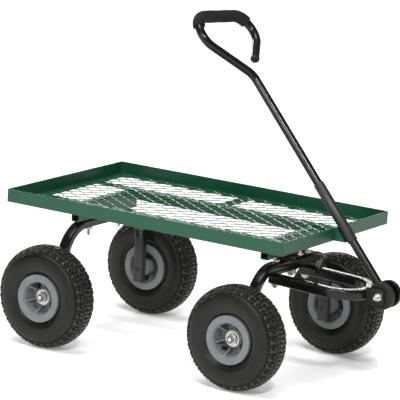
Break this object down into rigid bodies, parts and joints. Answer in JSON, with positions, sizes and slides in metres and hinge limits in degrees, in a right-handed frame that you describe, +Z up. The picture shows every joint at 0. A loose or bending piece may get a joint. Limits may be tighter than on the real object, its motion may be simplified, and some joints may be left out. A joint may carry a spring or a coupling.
{
  "type": "garden cart",
  "caption": "Flat-deck garden cart with a mesh load bed in a green angle-iron frame, a steered front axle, pneumatic tyres and a pull handle that folds down.",
  "frame": {"origin": "on the ground, under the middle of the cart's bounding box, with the handle parked", "axes": "+Z up, +X forwards to the end that the handle pulls from, +Y to the cart's left"},
  "size_m": [1.0208, 0.574, 0.897],
  "materials": {
    "green_paint": "green powder coat, semi-gloss",
    "black_paint": "black powder coat, gloss",
    "olive_paint": "dark olive paint, satin",
    "zinc": "bright zinc plate",
    "rim_plastic": "light grey moulded, satin",
    "rubber": "black treaded rubber",
    "foam": "charcoal foam rubber, matte",
    "black_plastic": "black moulded, satin"
  },
  "bodies": {
    "chassis": {"front_rail": "green_paint", "rear_rail": "green_paint", "left_rail": "green_paint", "right_rail": "green_paint", "deck_mesh": "green_paint", "left_bearer": "green_paint", "right_bearer": "green_paint", "left_outrigger": "green_paint", "right_outrigger": "green_paint", "front_cross_member": "green_paint", "rear_cross_member": "green_paint", "handle_rest": "green_paint", "rear_arch": "black_paint", "rear_arch_bolt_left": "zinc", "rear_arch_bolt_right": "zinc", "swivel_base": "black_paint", "kingpin": "zinc", "kingpin_nut": "zinc", "swivel_bolt_front_left": "zinc", "swivel_bolt_front_right": "zinc", "swivel_bolt_rear_left": "zinc", "swivel_bolt_rear_right": "zinc", "rear_left_axle": "zinc", "rear_left_axle_nut": "zinc", "rear_right_axle": "zinc", "rear_right_axle_nut": "zinc"},
    "front_axle": {"front_arch": "black_paint", "steering_plate": "olive_paint", "steering_spacer": "black_paint", "stop_pin": "black_paint", "tongue_loop": "black_paint", "left_cheek": "black_paint", "right_cheek": "black_paint", "tongue_bolt_left": "zinc", "tongue_bolt_right": "zinc", "pivot_bolt": "zinc", "pivot_nut": "zinc", "front_left_axle": "zinc", "front_left_axle_nut": "zinc", "front_right_axle": "zinc", "front_right_axle_nut": "zinc"},
    "handle": {"handle_tube": "black_paint", "handle_sleeve": "black_paint", "foam_grip": "foam", "handle_end_cap": "black_plastic", "left_disc": "black_paint", "right_disc": "black_paint"},
    "rear_left_wheel": {"rear_left_tyre": "rubber", "rear_left_rim": "rim_plastic", "rear_left_valve": "black_plastic"},
    "rear_right_wheel": {"rear_right_tyre": "rubber", "rear_right_rim": "rim_plastic", "rear_right_valve": "black_plastic"},
    "front_left_wheel": {"front_left_tyre": "rubber", "front_left_rim": "rim_plastic", "front_left_valve": "black_plastic"},
    "front_right_wheel": {"front_right_tyre": "rubber", "front_right_rim": "rim_plastic", "front_right_valve": "black_plastic"}
  },
  "joints": [
    {"name": "front_steer", "type": "hinge", "parent": "chassis", "child": "front_axle", "pos_m": [0.20005, 0, 0.28], "axis": [0, 0, 1], "range_deg": [-15, 15]},
    {"name": "handle_fold", "type": "hinge", "parent": "front_axle", "child": "handle", "pos_m": [0.47545, 0, 0.2495], "axis": [0, 1, 0], "range_deg": [0, 145]},
    {"name": "rear_left_spin", "type": "hinge", "parent": "chassis", "child": "rear_left_wheel", "pos_m": [-0.37645, 0.245, 0.134], "axis": [0, 1, 0], "continuous": true},
    {"name": "rear_right_spin", "type": "hinge", "parent": "chassis", "child": "rear_right_wheel", "pos_m": [-0.37645, -0.245, 0.134], "axis": [0, 1, 0], "continuous": true},
    {"name": "front_left_spin", "type": "hinge", "parent": "front_axle", "child": "front_left_wheel", "pos_m": [0.20005, 0.245, 0.134], "axis": [0, 1, 0], "continuous": true},
    {"name": "front_right_spin", "type": "hinge", "parent": "front_axle", "child": "front_right_wheel", "pos_m": [0.20005, -0.245, 0.134], "axis": [0, 1, 0], "continuous": true}
  ]
}
